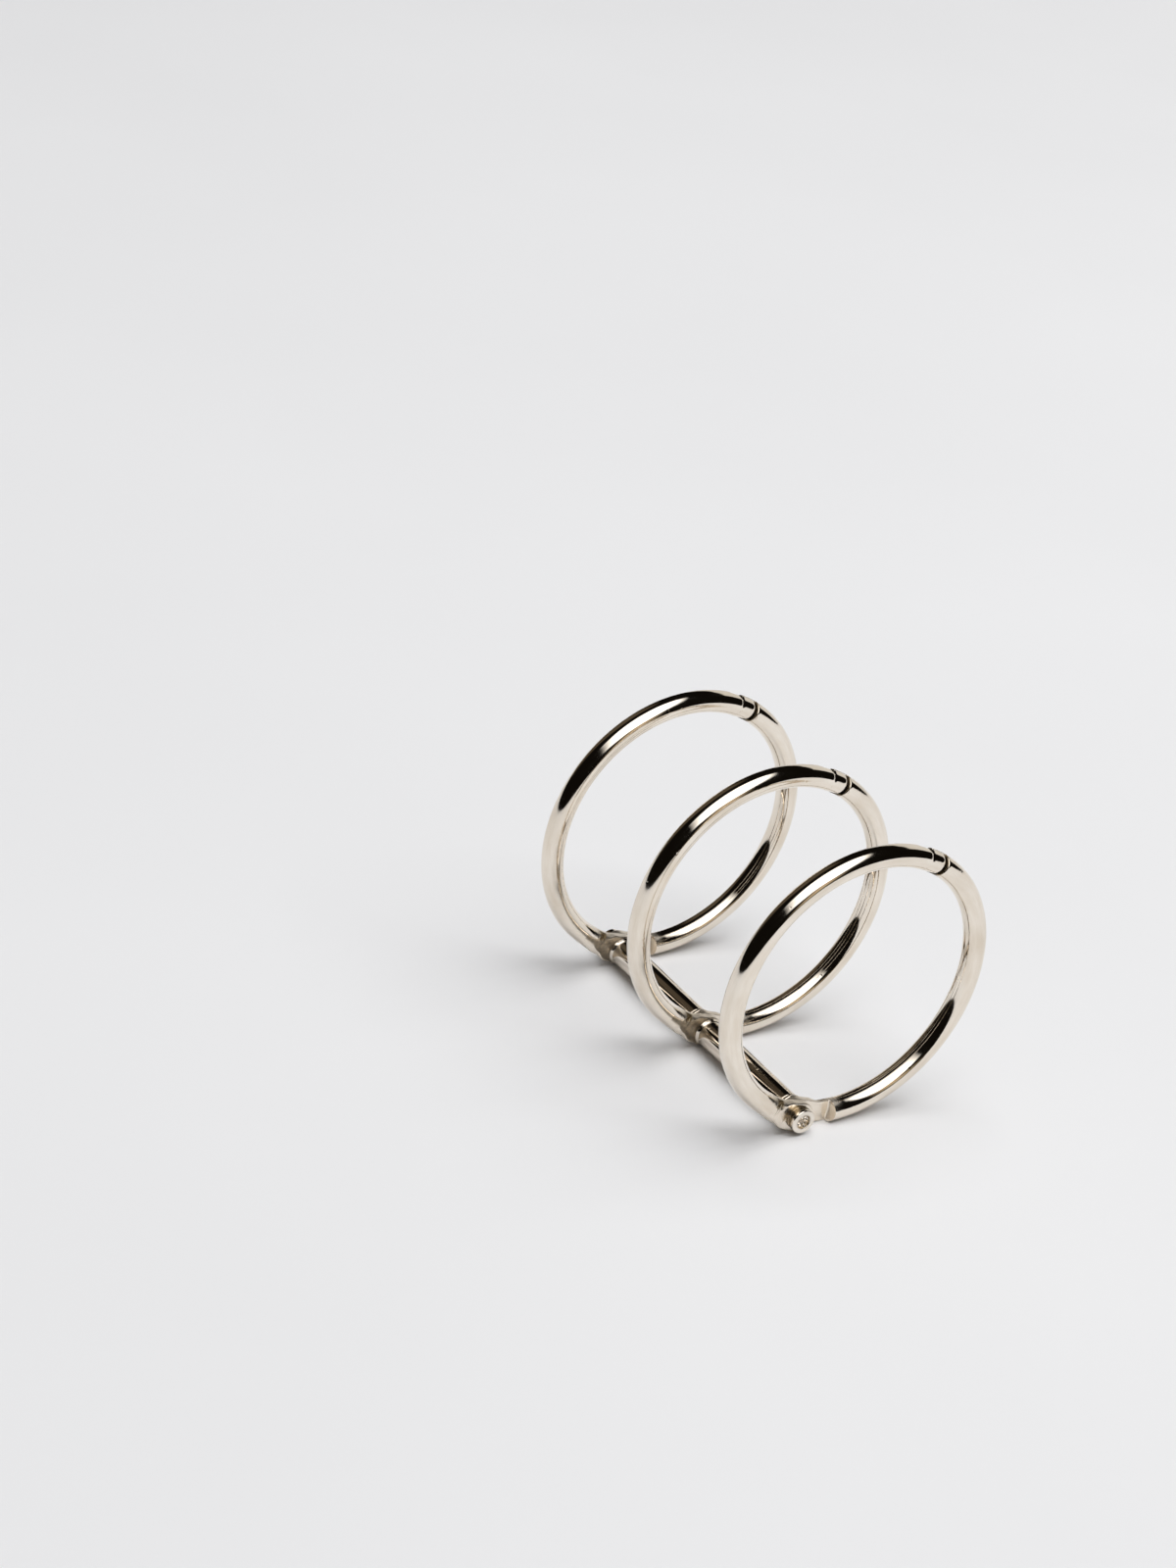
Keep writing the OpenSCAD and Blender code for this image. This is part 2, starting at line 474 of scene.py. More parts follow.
def lug_stations(swell=0):
    """Lug from its round end to the full wire behind the shoulder."""
    made = []
    for turn in np.linspace(NOSE_FROM, math.pi / 2, NOSE_STATIONS)[:-1]:
        angle = -math.asin(LUG_R * math.cos(turn) / HINGE_R)
        made.append((angle, lug_section(angle)))
    made += [(a, lug_section(a)) for a in between(0, FOOT_A, FINE_STEP)]
    for turn in np.linspace(0, math.pi / 2, COVE_STATIONS):
        angle = FOOT_A + math.sin(turn) * (SHOULDER_A - FOOT_A)
        low, high = lug_section(angle), neck_section(angle, -WIRE_R)
        made.append((angle, low + (1 - math.cos(turn)) * (high - low)))
    behind = between(SHOULDER_A + FINE_STEP, NECK_A, FINE_STEP)
    made += [(a, neck_section(a, -WIRE_R)) for a in behind]
    return [(a, swollen(a, section, swell)) for a, section in made]


def left_stations():
    """Left half: lug, wire, pressed flat and snap head."""
    made = lug_stations(SWELL)
    root = HEAD_ROOT_A - STEP_ROUND / LINE_R
    flat = HEAD_ROOT_A - PRESS_LEN / LINE_R
    tip = HEAD_TIP_A - HEAD_TIP_ROUND / LINE_R
    made += [(a, WIRE) for a in between(made[-1][0] + FINE_STEP, flat, WIRE_STEP)]
    made += [(a, head_section(a)) for a in between(flat, root, FINE_STEP)]
    made += step_stations(root, head_section(root), head_section(HEAD_ROOT_A), STEP_ROUND)
    made += [(a, head_section(a)) for a in between(HEAD_ROOT_A + FINE_STEP, tip, FINE_STEP)]
    return made + rounded_tip(head_section(tip), tip, HEAD_TIP_ROUND)


def right_stations():
    """Right half: lug, wire and snap tongue."""
    made = lug_stations()
    root = TONGUE_ROOT_A - STEP_ROUND / LINE_R
    tip = TONGUE_TIP_A - TONGUE_TIP_ROUND / LINE_R
    made += [(a, WIRE) for a in between(made[-1][0] + FINE_STEP, root, WIRE_STEP)]
    made += step_stations(root, WIRE, tongue_section(TONGUE_ROOT_A), STEP_ROUND)
    made += [(a, tongue_section(a)) for a in between(TONGUE_ROOT_A + FINE_STEP, tip, FINE_STEP)]
    return made + rounded_tip(tongue_section(tip), tip, TONGUE_TIP_ROUND)


def shoulder_shift(radial):
    """Angle by which the shoulder, round about the pin, leaves its place on the wire's line."""
    r = LINE_R + radial
    cosine = (r ** 2 + HINGE_R ** 2 - SHOULDER_R ** 2) / (2 * r * HINGE_R)
    line = (LINE_R ** 2 + HINGE_R ** 2 - SHOULDER_R ** 2) / (2 * LINE_R * HINGE_R)
    return np.arccos(cosine) - math.acos(line)


def in_ring_plane(angle, section):
    """Places a section of a left half in the ring plane: right, up, front, from the pin."""
    near = bell((angle - SHOULDER_A) / (SHOULDER_A - FOOT_A))
    turn = angle + near * shoulder_shift(section[:, 0])
    r = LINE_R + section[:, 0]
    return np.stack([-r * np.sin(turn), HINGE_R - r * np.cos(turn), section[:, 1]], 1)


def to_world(points, y, turned=False):
    """From the plane of the ring at y to the model's frame. A right half is a left one turned round."""
    side = -1 if turned else 1
    right, up, front = side * points[:, 0], points[:, 1], side * points[:, 2]
    x = PIN.x + right * math.cos(LEAN) + up * math.sin(LEAN)
    z = PIN.z - right * math.sin(LEAN) + up * math.cos(LEAN)
    return np.stack([x, y - front, z], 1)


# Meshes

def mesh_piece(name, points, faces, uvs, material):
    """A smooth mesh object from points, faces and one UV per face corner."""
    mesh = bpy.data.meshes.new(name)
    mesh.from_pydata([tuple(p) for p in points], [], faces)
    layer = mesh.uv_layers.new(name="UVMap")
    layer.data.foreach_set("uv", np.array([c for f in uvs for uv in f for c in uv], np.float32))
    bm = bmesh.new()
    bm.from_mesh(mesh)
    bmesh.ops.recalc_face_normals(bm, faces=bm.faces)
    bm.to_mesh(mesh)
    bm.free()
    mesh.materials.append(material)
    piece = bpy.data.objects.new(name, mesh)
    bpy.context.scene.collection.objects.link(piece)
    return piece


def finish_shading(piece):
    """Smooth shading with crisp edges."""
    mesh = piece.data
    mesh.polygons.foreach_set("use_smooth", [True] * len(mesh.polygons))
    mesh.set_sharp_from_angle(angle=SHARP)
    mesh.update()


def grid_faces(rows, count):
    """Quads between closed rows of count points, with their UV corners, and a cap on each end."""
    faces, uvs = [], []
    for i in range(rows - 1):
        for j in range(count):
            k = (j + 1) % count
            faces.append((i * count + j, i * count + k, (i + 1) * count + k, (i + 1) * count + j))
            uvs.append([(i, j), (i, j + 1), (i + 1, j + 1), (i + 1, j)])
    last = (rows - 1) * count
    for cap, row in ((range(count - 1, -1, -1), 0), (range(last, last + count), rows - 1)):
        faces.append(tuple(cap))
        uvs.append([(row, c % count) for c in cap])
    return faces, uvs


def mark(piece, name, values):
    """Keeps one number per point of a mesh, for its material."""
    layer = piece.data.attributes.new(name, "FLOAT", "POINT")
    layer.data.foreach_set("value", np.asarray(values, np.float32))


def edge_share(section):
    """1 where a section's outline is an edge of a lug, 0 where it is a face."""
    leg = np.roll(section, -1, 0) - np.roll(section, 1, 0)
    upright = np.abs(leg[:, 1]) / np.maximum(np.linalg.norm(leg, axis=1), TINY)
    return smooth_all(upright, *UPRIGHT_EDGE)


def snap_stain_and_notch_shade(angle, section, turned):
    """1 on the faces inside the snap, which polishing doesn't reach and which are also darkened as painted
    shade, and in the lug's notch, where the darkening is painted shade; 0 on the round of the wire."""
    root, before = (TONGUE_ROOT_A, STEP_ROUND) if turned else (HEAD_ROOT_A, GROOVE_W / 2)
    depth = WIRE_R - np.linalg.norm(section, axis=1)
    if turned:
        depth = np.where(section[:, 1] < 0, WIRE_R, depth)
    inside = smooth_all(depth, RECESS_EDGE, 2 * RECESS_EDGE)
    return inside * smooth(angle, root - before / LINE_R, root) + notch_shade(angle, section)


def notch_shade(angle, section):
    """Painted shade: 1 in the notch at the inner side of a lug's face."""
    if angle > NECK_A:
        return 0
    across = smooth_all(section[:, 0], *NOTCH_EDGES) * smooth_all(section[:, 1], *NOTCH_FOOT)
    # Strength of the painted shade in the notch
    dark = NOTCH_SHADE * bell((HINGE_R * math.sin(angle) - NOTCH_AT) / NOTCH_LEN)
    return min(dark, 1) * across


def face_share(angle, section):
    """1 on the flat of a lug, 0 on the round of the wire."""
    if angle > NECK_A:
        return np.zeros(len(section))
    under = lug_face(HINGE_R * math.sin(angle), section[:, 0]) - section[:, 1]
    return 1 - smooth_all(under, FACE_DEPTH, 2 * FACE_DEPTH)


def half_ring(name, y, stations, turned, by_tube, material):
    """One half of a ring as a loft along the wire, with its bore for the pin. The flat of its lug is
    darkened with painted shade, a dark reflection, where a tube lies against it."""
    points = np.vstack([to_world(in_ring_plane(a, s), y, turned) for a, s in stations])
    faces, uvs = grid_faces(len(stations), SECTION_POINTS)
    length = [a * LINE_R / MM for a, _ in stations]
    around = 2 * math.pi * WIRE_R / MM / SECTION_POINTS
    uvs = [[(length[i], j * around) for i, j in corner] for corner in uvs]
    piece = mesh_piece(name, points, faces, uvs, material)
    pressed = np.repeat([1 - smooth(a, SHOULDER_A, NECK_A) for a, _ in stations], SECTION_POINTS)
    mark(piece, "pressed", pressed)
    mark(piece, "sheared", pressed * np.concatenate([edge_share(s) for _, s in stations]))
    # Stain and painted shade inside the snap, painted shade in the notch
    stain_and_shade = np.concatenate([snap_stain_and_notch_shade(a, s, turned) for a, s in stations])
    # Painted shade on the lug's flat by a tube: the dark tube and shadowed floor it would reflect
    if by_tube:
        face = np.concatenate([face_share(a, s) for a, s in stations])
        stain_and_shade = np.maximum(stain_and_shade, FACE_SHADE * face)
    mark(piece, "stain_and_shade", stain_and_shade)
    bore(piece, y)
    finish_shading(piece)
    return piece


def bore(piece, y):
    """Cuts the pin's bore through a lug."""
    bm = bmesh.new()
    axis = Matrix.Translation((PIN.x, y, PIN.z)) @ Matrix.Rotation(math.pi / 2, 4, "X")
    bmesh.ops.create_cone(bm, cap_ends=True, segments=LATHE_SEGMENTS, radius1=BORE_R, radius2=BORE_R,
                          depth=BORE_CUT, matrix=axis)
    mesh = bpy.data.meshes.new("bore")
    bm.to_mesh(mesh)
    bm.free()
    cutter = bpy.data.objects.new("bore", mesh)
    bpy.context.scene.collection.objects.link(cutter)
    cut = piece.modifiers.new("bore", "BOOLEAN")
    cut.operation = "DIFFERENCE"
    cut.solver = "EXACT"
    cut.object = cutter
    evaluated = piece.evaluated_get(bpy.context.evaluated_depsgraph_get())
    made = bpy.data.meshes.new_from_object(evaluated)
    piece.modifiers.clear()
    piece.data = made
    bpy.data.objects.remove(cutter)


def lathe(name, profile, material, dent=None):
    """Turns a profile of (radius, place along Y) points about the pin. dent moves single points."""
    turn = np.linspace(0, 2 * math.pi, LATHE_SEGMENTS, endpoint=False)
    rows = []
    for radius, place in profile:
        r = np.full(LATHE_SEGMENTS, radius)
        p = np.full(LATHE_SEGMENTS, place)
        if dent:
            r, p = dent(r, p, turn)
        rows.append(np.stack([PIN.x + r * np.cos(turn), p, PIN.z + r * np.sin(turn)], 1))
    faces, uvs = grid_faces(len(rows), LATHE_SEGMENTS)
    across = [r / MM * math.pi * 2 / LATHE_SEGMENTS for r, _ in profile]
    uvs = [[(profile[i][1] / MM, j * across[i]) for i, j in corner] for corner in uvs]
    piece = mesh_piece(name, np.vstack(rows), faces, uvs, material)
    finish_shading(piece)
    return piece


def flared(from_end):
    """Radius of a tube at a distance from its end, which spreads where it meets the lug."""
    return TUBE_R + FLARE * max(1 - from_end / SEAM_AT, 0)


def seam(place, low, high):
    """1 on the two seam lines of a tube, near its ends."""
    return bell((min(place - low, high - place) - SEAM_AT) / SEAM_W)


def tube_edge(r, place, start):
    """A quarter turn of a tube's rounded edge about a point of its profile, from a start angle."""
    turn = start + np.linspace(0, math.pi / 2, TUBE_EDGE_ROWS)
    return [(r + TUBE_EDGE * math.cos(t), place + TUBE_EDGE * math.sin(t)) for t in turn]


def spacer_tube(name, box, material):
    """Tube between two rings, with rounded ends and a seam line near each of them."""
    low, high = box[0].y, box[1].y
    near = np.arange(TUBE_EDGE, 2 * SEAM_AT, SEAM_W / 2)
    middle = np.linspace(low + 2 * SEAM_AT, high - 2 * SEAM_AT, TUBE_ROWS)
    inside, outside = BORE_R + TUBE_EDGE, flared(TUBE_EDGE) - TUBE_EDGE
    profile = tube_edge(inside, low + TUBE_EDGE, math.pi)
    profile += tube_edge(outside, low + TUBE_EDGE, 1.5 * math.pi)
    for p in np.concatenate([low + near[1:], middle, high - near[:0:-1]]):
        profile.append((flared(min(p - low, high - p)) - SEAM_DEPTH * seam(p, low, high), p))
    profile += tube_edge(outside, high - TUBE_EDGE, 0)
    profile += tube_edge(inside, high - TUBE_EDGE, math.pi / 2)
    tube = closed_lathe(name, profile, material)
    dark_stain_and_shade = [SEAM_STAIN * seam(p, low, high) for _, p in profile]
    mark(tube, "stain_and_shade", np.repeat(dark_stain_and_shade, LATHE_SEGMENTS))
    collar = [COLLAR_PRESSED * (min(p - low, high - p) < SEAM_AT) for _, p in profile]
    mark(tube, "pressed", np.repeat(collar, LATHE_SEGMENTS))
    return tube


def closed_lathe(name, profile, material):
    """A lathe whose profile closes on itself, as a tube's does."""
    turn = np.linspace(0, 2 * math.pi, LATHE_SEGMENTS, endpoint=False)
    rows, count = len(profile), LATHE_SEGMENTS
    points = np.vstack([np.stack([PIN.x + r * np.cos(turn), np.full(count, p), PIN.z + r * np.sin(turn)], 1)
                        for r, p in profile])
    faces, uvs = [], []
    for i in range(rows):
        n = (i + 1) % rows
        for j in range(count):
            k = (j + 1) % count
            faces.append((i * count + j, i * count + k, n * count + k, n * count + j))
            step = profile[i][0] / MM * math.pi * 2 / count
            near, far = profile[i][1] / MM, profile[n][1] / MM
            uvs.append([(near, j * step), (near, (j + 1) * step), (far, (j + 1) * step), (far, j * step)])
    piece = mesh_piece(name, points, faces, uvs, material)
    finish_shading(piece)
    return piece


def crater_share(r):
    """Depth of the crater at a radius, as a share: a straight wall round an almost flat floor."""
    return min((CRATER_R - r) / (CRATER_R * (1 - CRATER_FLOOR)), 1)


def punched(r, p, turn):
    """Makes the front head's crater uneven, as the punch leaves it."""
    if r[0] > CRATER_R or p[0] > PIN_BOX[0].y + HEAD_H:
        return r, p
    height = smooth(r[0], CRATER_R, LOBE_OUTSIDE * CRATER_R) * smooth(r[0], 0, LOBE_INSIDE * CRATER_R)
    twist = LOBE_TWIST * r / CRATER_R
    lobes = sum(share * np.cos(count * turn + start + side * twist) for share, count, start, side in LOBES)
    return r * (1 + LOBE_SPREAD * lobes * height), p + LOBE_H * lobes * height


def head_shade(r, depth):
    """Painted shade on the front head: a dark line round the crater and darkening at the foot of its side."""
    if depth > HEAD_H:
        return 0
    at, width = CRATER_LINE
    crater_line = CRATER_LINE_SHADE * bell((r / CRATER_R - at) / width)
    foot = HEAD_FOOT_SHADE * smooth(depth, *HEAD_FOOT_SHADE_FROM) if r > CRATER_R else 0
    return crater_line + foot


def hinge_pin(material):
    """Riveted pin: a plain head at the back, a punched head at the front."""
    front, back = PIN_BOX[0].y, PIN_BOX[1].y
    quarter = np.linspace(0, math.pi / 2, RIM_ROWS)
    crater = np.linspace(CRATER_HUB * CRATER_R, CRATER_R, CRATER_ROWS)
    profile = [(r, front + CRATER_DEPTH * crater_share(r)) for r in crater]
    profile += [(r, front) for r in np.linspace(CRATER_R, HEAD_R - HEAD_RIM, FACE_ROWS)[1:]]
    profile += [(HEAD_R - HEAD_RIM + HEAD_RIM * math.sin(t), front + HEAD_RIM - HEAD_RIM * math.cos(t))
                for t in quarter[1:]]
    side = np.linspace(front + HEAD_RIM, front + HEAD_H - EDGE_ROUND, SIDE_ROWS)
    profile += [(HEAD_R, p) for p in side[1:]]
    profile += [(HEAD_R - EDGE_ROUND, front + HEAD_H)]
    profile += [(PIN_R, front + HEAD_H), (PIN_R, back - HEAD_H)]
    profile += [(HEAD_R - EDGE_ROUND, back - HEAD_H), (HEAD_R, back - HEAD_H + EDGE_ROUND)]
    profile += [(HEAD_R - HEAD_RIM + HEAD_RIM * math.cos(t), back - HEAD_RIM + HEAD_RIM * math.sin(t))
                for t in quarter]
    profile += [(r, back) for r in np.linspace(HEAD_R - HEAD_RIM, HEAD_HUB * HEAD_R, BACK_ROWS)[1:]]
    pin = lathe("riveted_pin", profile, material, punched)
    # Painted shade: a dark line round the crater and a dark foot on the front head's side
    dark_stain_and_shade = [head_shade(r, p - front) for r, p in profile]
    mark(pin, "stain_and_shade", np.repeat(dark_stain_and_shade, LATHE_SEGMENTS))
    return pin


# Materials. A noise is given by its scale, detail and roughness, a bump by its strength and height.

TINT_NOISE = (160, 4)
TINT_STOPS = (0.36, 0.64)
STREAKS = (0.22, 1.3, 1)
STREAK_NOISE = (1.0, 4, 0.6)
STAIN_AND_SHADE_NOISE = (2600, 3)
STAIN_AND_SHADE_STOPS = (0.35, 0.7)
POLISH_LINES = (0.35, 14, 1)
POLISH_NOISE = (1.0, 3, 0.6)
POLISH_RANGE = (0.35, 0.75)
POLISH_BUMP = (0.08, 0.012 * MM)
SMEAR_NOISE = (420, 3)
SMEAR_RANGE = (0.45, 0.75)
PIT_SCALE = 650
PIT_RANGE = (0.05, 0.14)
PIT_BUMP = (0.25, 0.02 * MM)
WAVE_NOISE = (260, 1)
WAVE_BUMP = (0.25, 0.02 * MM)
HAMMER_NOISE = (1500, 3, 0.65)
HAMMER_BUMP = (0.35, 0.05 * MM)
PRESSED_ROUGH = 0.14
SHEARED_ROUGH = 0.22
RECESS_ROUGH = 0.30
STAIN_AND_SHADE_DARK = (0.07, 0.048, 0.02)
STAIN_AND_SHADE_LIGHT = (0.36, 0.27, 0.15)
FLOOR_NOISE = (9, 3)
FLOOR_STOPS = [(0.3, (0.83, 0.83, 0.84)), (0.7, (0.85, 0.85, 0.86))]
FLOOR_GRAIN = (1800, 2)
FLOOR_BUMP = (0.15, 0.03 * MM)
FLOOR_ROUGH = 0.7
FLOOR_SPECULAR = 0.2

# Light tint, dark tint and range of roughness of each metal
RING_NICKEL = ((0.90, 0.835, 0.745), (0.76, 0.675, 0.565), (0.03, 0.09))
TUBE_NICKEL = ((0.86, 0.79, 0.70), (0.72, 0.64, 0.54), (0.04, 0.11))
PIN_NICKEL = ((0.91, 0.86, 0.79), (0.78, 0.71, 0.62), (0.04, 0.10))

# Colour sockets of a mix node
MIX_INPUTS = (6, 7)
MIX_OUTPUT = 2


class Nodes:
    """A material's node tree, with short calls to add and link nodes."""

    def __init__(self, name):
        self.material = bpy.data.materials.new(name)
        self.material.use_nodes = True
        self.tree = self.material.node_tree
        self.shader = self.tree.nodes["Principled BSDF"]

    def add(self, kind, **settings):
        node = self.tree.nodes.new(kind)
        for key, value in settings.items():
            if key in node.inputs:
                node.inputs[key].default_value = value
            else:
                setattr(node, key, value)
        return node

    def link(self, source, target):
        self.tree.links.new(source, target)

    def noise(self, vector, scale, detail=2.0, roughness=0.5):
        node = self.add("ShaderNodeTexNoise", Scale=scale, Detail=detail, Roughness=roughness)
        self.link(vector, node.inputs["Vector"])
        return node.outputs["Fac"]

    def spread(self, value, low, high, to_low, to_high):
        node = self.add("ShaderNodeMapRange")
        node.inputs["From Min"].default_value = low
        node.inputs["From Max"].default_value = high
        node.inputs["To Min"].default_value = to_low
        node.inputs["To Max"].default_value = to_high
        self.link(value, node.inputs["Value"])
        return node.outputs["Result"]

    def maths(self, operation, a, b):
        node = self.add("ShaderNodeMath", operation=operation)
        for socket, value in zip(node.inputs, (a, b)):
            if isinstance(value, (int, float)):
                socket.default_value = value
            else:
                self.link(value, socket)
        return node.outputs["Value"]

    def ramp(self, value, stops):
        node = self.add("ShaderNodeValToRGB")
        elements = node.color_ramp.elements
        while len(elements) < len(stops):
            elements.new(0.5)
        for element, (place, colour) in zip(elements, stops):
            element.position = place
            element.color = (*colour, 1)
        self.link(value, node.inputs["Fac"])
        return node.outputs["Color"]

    def mix(self, share, first, second):
        node = self.add("ShaderNodeMix", data_type="RGBA")
        self.link(share, node.inputs["Factor"])
        for socket, value in zip(MIX_INPUTS, (first, second)):
            self.link(value, node.inputs[socket])
        return node.outputs[MIX_OUTPUT]

    def scaled(self, vector, scale):
        node = self.add("ShaderNodeMapping")
        node.inputs["Scale"].default_value = scale
        self.link(vector, node.inputs["Vector"])
        return node.outputs["Vector"]

    def bump(self, height, strength, distance, normal=None):
        node = self.add("ShaderNodeBump", Strength=strength, Distance=distance)
        self.link(height, node.inputs["Height"])
        if normal:
            self.link(normal, node.inputs["Normal"])
        return node.outputs["Normal"]


def nickel(name, light, dark, rough):
    """Bright nickel plate: slow changes of tint, fine polishing lines along the piece, small pits, a slightly
    hammered face where the metal was pressed flat, a matt edge where it was sheared, and brown stains where
    polishing doesn't reach. The same brown also paints shade: in the lugs' notches, on lug flats by a tube,
    and round the front head's crater and at the foot of its side."""
    n = Nodes(name)
    place = n.add("ShaderNodeTexCoord")
    solid, flat = place.outputs["Object"], place.outputs["UV"]
    pressed = n.add("ShaderNodeAttribute", attribute_name="pressed").outputs["Fac"]
    sheared = n.add("ShaderNodeAttribute", attribute_name="sheared").outputs["Fac"]
    stain_and_shade = n.add("ShaderNodeAttribute", attribute_name="stain_and_shade").outputs["Fac"]
    streak = n.noise(n.scaled(flat, STREAKS), *STREAK_NOISE)
    cloud = n.maths("MULTIPLY", n.maths("ADD", n.noise(solid, *TINT_NOISE), streak), 0.5)
    tint = n.ramp(cloud, list(zip(TINT_STOPS, (dark, light))))
    # Brown stain colour, which also paints shade in the notches, on lug flats by a tube and on the front head
    dark_stain_and_shade = n.ramp(n.noise(solid, *STAIN_AND_SHADE_NOISE), list(zip(STAIN_AND_SHADE_STOPS, (STAIN_AND_SHADE_DARK, STAIN_AND_SHADE_LIGHT))))
    n.link(n.mix(stain_and_shade, tint, dark_stain_and_shade), n.shader.inputs["Base Color"])

    polish = n.noise(n.scaled(flat, POLISH_LINES), *POLISH_NOISE)
    smear = n.noise(solid, *SMEAR_NOISE)
    low, high = rough
    fine = n.spread(polish, *POLISH_RANGE, low, high)
    worn = n.maths("ADD", fine, n.spread(smear, *SMEAR_RANGE, 0, high / 2))
    for share, added in ((pressed, PRESSED_ROUGH), (sheared, SHEARED_ROUGH), (stain_and_shade, RECESS_ROUGH)):
        worn = n.maths("ADD", worn, n.maths("MULTIPLY", share, added))
    n.link(worn, n.shader.inputs["Roughness"])

    pits = n.add("ShaderNodeTexVoronoi", Scale=PIT_SCALE)
    n.link(solid, pits.inputs["Vector"])
    pit = n.spread(pits.outputs["Distance"], *PIT_RANGE, 0, 1)
    hammer = n.maths("MULTIPLY", n.noise(solid, *HAMMER_NOISE), pressed)
    surface = n.bump(n.noise(solid, *WAVE_NOISE), *WAVE_BUMP)
    surface = n.bump(polish, *POLISH_BUMP, surface)
    surface = n.bump(pit, *PIT_BUMP, surface)
    surface = n.bump(hammer, *HAMMER_BUMP, surface)
    n.link(surface, n.shader.inputs["Normal"])
    n.shader.inputs["Metallic"].default_value = 1
    return n.material


def pale_floor():
    """Matt white surface with a fine grain."""
    n = Nodes("pale_floor")
    solid = n.add("ShaderNodeTexCoord").outputs["Object"]
    n.link(n.ramp(n.noise(solid, *FLOOR_NOISE), FLOOR_STOPS), n.shader.inputs["Base Color"])
    n.link(n.bump(n.noise(solid, *FLOOR_GRAIN), *FLOOR_BUMP), n.shader.inputs["Normal"])
    n.shader.inputs["Roughness"].default_value = FLOOR_ROUGH
    n.shader.inputs["Specular IOR Level"].default_value = FLOOR_SPECULAR
    return n.material


# The object

wire_metal = nickel("ring_nickel", *RING_NICKEL)
tube_metal = nickel("tube_nickel", *TUBE_NICKEL)
pin_metal = nickel("pin_nickel", *PIN_NICKEL)
halves = (("left", left_stations(), False), ("right", right_stations(), True))

for ring in RINGS:
    for side, stations, turned in halves:
        node = f"{ring}_{side}_half"
        by_tube = ring != ("back" if turned else "front")
        half = half_ring(f"{ring}_{side}_wire", RING_Y[ring], stations, turned, by_tube, wire_metal)
        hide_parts(node)
        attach(half, f"{ring}_{side}")

for ring, box in TUBE_BOX.items():
    tube = spacer_tube(f"{ring}_spacer", box, tube_metal)
    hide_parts(f"{ring}_spacer_tube")
    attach(tube, "hinge_core")

pin = hinge_pin(pin_metal)
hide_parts("hinge_pin")
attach(pin, "hinge_core")


# Floor and studio: places in metres from the floor under the middle of the set

FLOOR_HALF = 4.0
LAMP_PLACE = (0.42, -0.2, 1.6)
LAMP_SIZE = (1.6, 2.1)
LAMP_POWER = 34.9
SOFTBOX_Z = 1.55
SOFTBOX_X = (-0.90 * SOFTBOX_Z, 0.50 * SOFTBOX_Z)
SOFTBOX_Y = (-2.1 * SOFTBOX_Z, 0.16 * SOFTBOX_Z)
SCREEN_X = (-0.25, 1.1)
SCREEN_Y = -3.0
SCREEN_Z = (0.1, 1.9)
WALL_X = (-1.6, 0.9)
WALL_Y = 2.4
WALL_Z = (0.0, 4.0)
CARD_X = 2.4
CARD_OUTLINE = [(0, 0), (3.9, 0), (3.9, 0.35), (3.0, 1.2), (1.5, 1.95), (0, 1.9)]
ROOM_COLOUR = (0.30, 0.25, 0.19, 1)
ROOM_STRENGTH = 0.016
FILL_COLOUR = (1, 1, 1, 1)
FILL_STRENGTH = 0.12
SURROUND_COLOUR = (0.80, 0.80, 0.82, 1)


def level_corners(x, y, z):
    """Corners of a level rectangle between two x and two y."""
    return [(x[0], y[0], z), (x[1], y[0], z), (x[1], y[1], z), (x[0], y[1], z)]


def wall_corners(x, y, z):
    """Corners of an upright rectangle between two x and two z."""
    return [(x[0], y, z[0]), (x[1], y, z[0]), (x[1], y, z[1]), (x[0], y, z[1])]


def studio_floor():
    """Pale floor under the set, far wider than the picture."""
    mesh = bpy.data.meshes.new("floor")
    half = (-FLOOR_HALF, FLOOR_HALF)
    mesh.from_pydata(level_corners(half, half, cad_box[0].z), [], [(0, 1, 2, 3)])
    mesh.materials.append(pale_floor())
    floor = bpy.data.objects.new("floor", mesh)
    bpy.context.scene.collection.objects.link(floor)


def area_light(name, place, aim, size, power):
    """Soft light for the floor and the rough surfaces. The panels stand for it in reflections."""
    data = bpy.data.lights.new(name, "AREA")
    data.shape = "RECTANGLE"
    data.size, data.size_y = size
    data.energy = power
    lamp = bpy.data.objects.new(name, data)
    lamp.location = place
    lamp.rotation_euler = (Vector(aim) - Vector(place)).to_track_quat("-Z", "Y").to_euler()
    lamp.visible_glossy = False
    bpy.context.scene.collection.objects.link(lamp)


def soft_edge(n, coordinate, low_edge, high_edge):
    """1 in the middle of a panel, falling to 0 over the given shares of its width at the two ends."""
    rising = n.spread(coordinate, 0, low_edge, 0, 1)
    falling = n.spread(coordinate, 1 - high_edge, 1, 1, 0)
    return n.maths("MULTIPLY", rising, falling)


def glow(name, colour, strength, x_edges, y_edges):
    """Light of a panel, brightest in the middle and fading to its edges."""
    n = Nodes(name)
    split = n.add("ShaderNodeSeparateXYZ")
    n.link(n.add("ShaderNodeTexCoord").outputs["UV"], split.inputs["Vector"])
    across = soft_edge(n, split.outputs["X"], *x_edges)
    along_y = soft_edge(n, split.outputs["Y"], *y_edges)
    fade = n.maths("MULTIPLY", across, along_y)
    light = n.add("ShaderNodeEmission")
    light.inputs["Color"].default_value = (*colour, 1)
    n.link(n.maths("MULTIPLY", fade, strength), light.inputs["Strength"])
    n.link(light.outputs["Emission"], n.tree.nodes["Material Output"].inputs["Surface"])
    n.tree.nodes.remove(n.shader)
    return n.material


